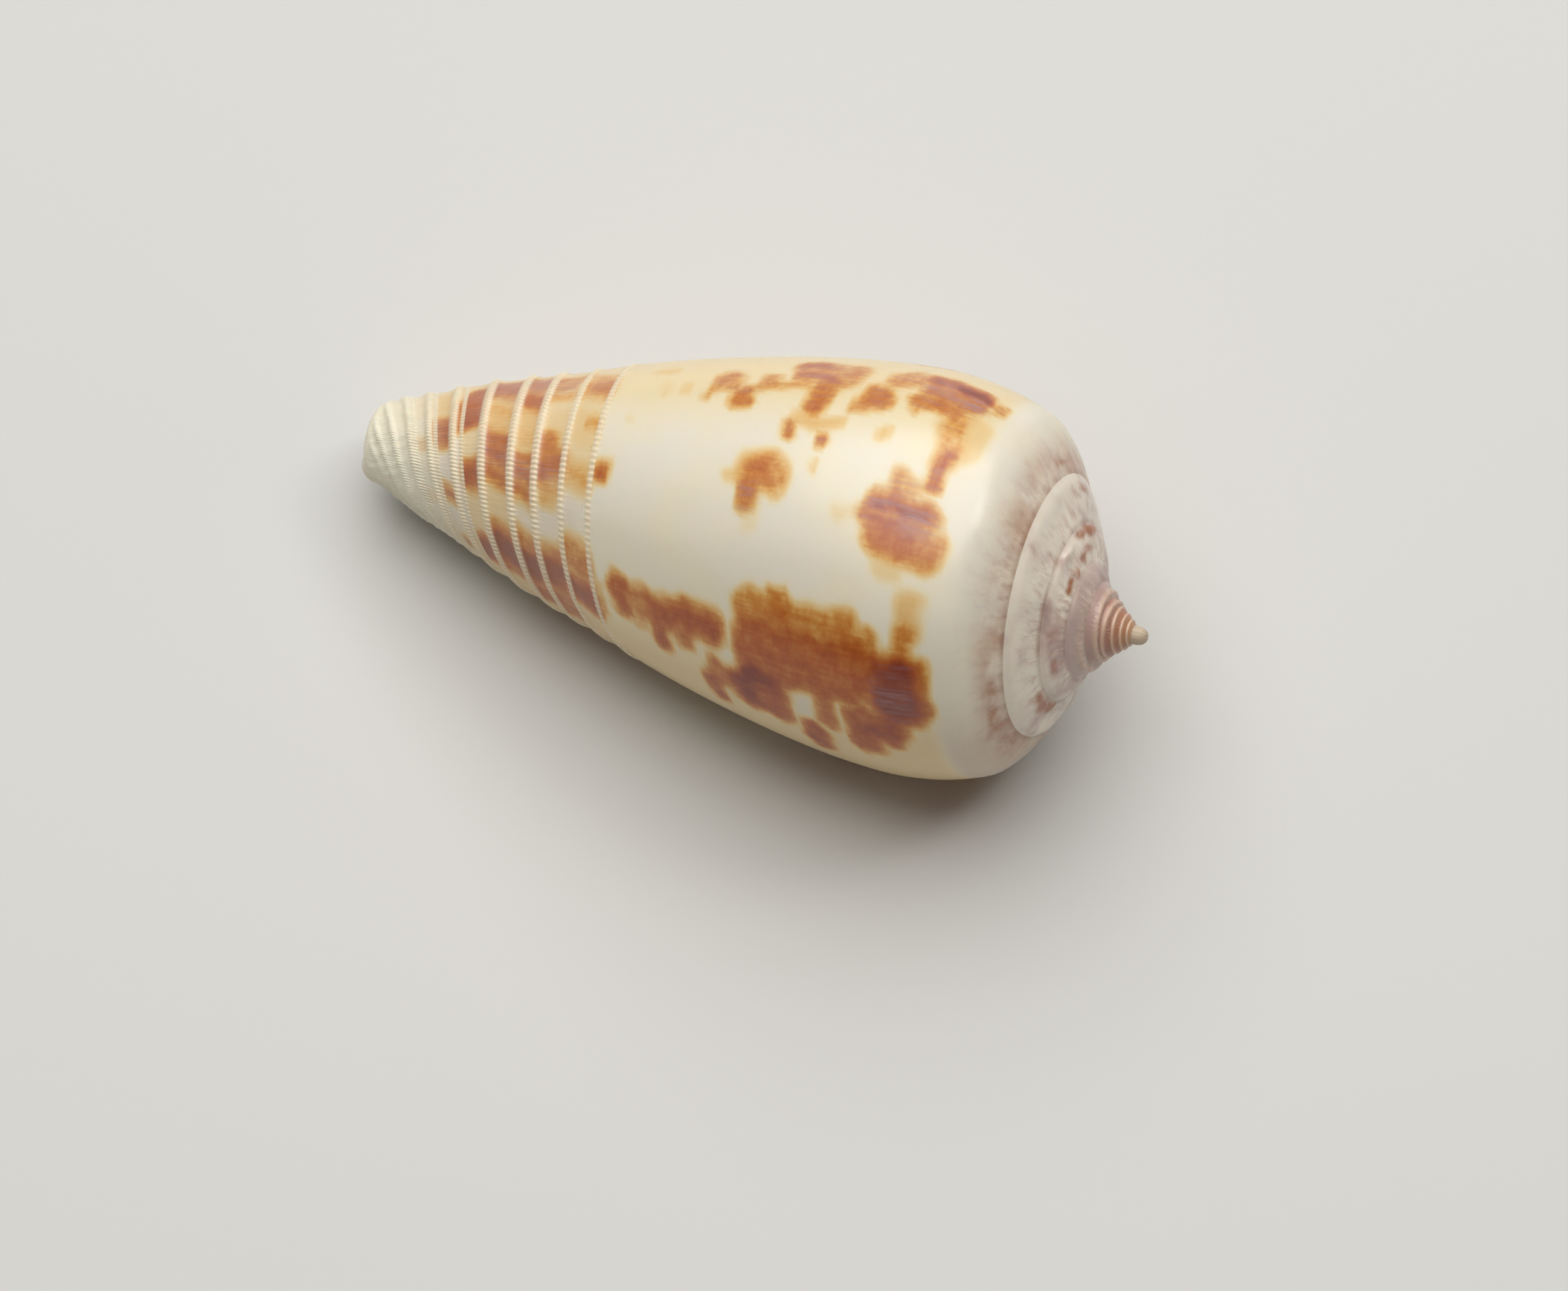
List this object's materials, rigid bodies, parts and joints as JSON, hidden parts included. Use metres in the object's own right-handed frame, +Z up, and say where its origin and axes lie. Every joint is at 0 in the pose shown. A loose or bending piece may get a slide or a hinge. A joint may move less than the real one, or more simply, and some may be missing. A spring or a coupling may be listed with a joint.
{
  "type": "cone shell",
  "caption": "Glossy cream and brown cone shell with a short concave spire and ribbed narrow end, lying on its slit aperture.",
  "frame": {"origin": "centre of the bounding box's underside, on the surface that the shell lies on", "axes": "+X towards the apex, +Z up; the shell lies on its aperture side"},
  "size_m": [0.0502, 0.0246, 0.0227],
  "materials": {
    "shell": "polished calcium carbonate, cream with orange to purple-brown blotches, finely beaded pale ribs at the narrow end"
  },
  "bodies": {
    "root": {"shell": "shell"}
  },
  "joints": []
}
